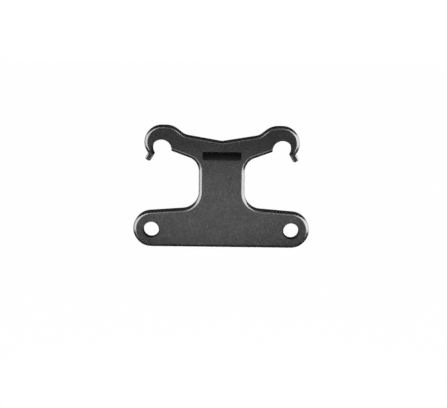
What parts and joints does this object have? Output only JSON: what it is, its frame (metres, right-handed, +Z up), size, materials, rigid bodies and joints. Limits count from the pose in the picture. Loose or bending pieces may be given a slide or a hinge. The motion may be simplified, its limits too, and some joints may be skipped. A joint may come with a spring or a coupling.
{
  "type": "saddle rail bracket",
  "caption": "Flat moulded bracket that snaps onto a saddle's two rails and offers a bar with two holes for a rear lamp.",
  "frame": {"origin": "midway between the two lamp holes, on the face that the lamp seats on", "axes": "+X to the right seen from behind the bicycle, +Y forwards along the saddle rails, +Z up"},
  "size_m": [0.0628, 0.012, 0.0435],
  "materials": {
    "moulded_plastic": "near-black glass-filled plastic with a fine spark-eroded grain"
  },
  "bodies": {
    "root": {"bracket": "moulded_plastic"}
  },
  "joints": []
}
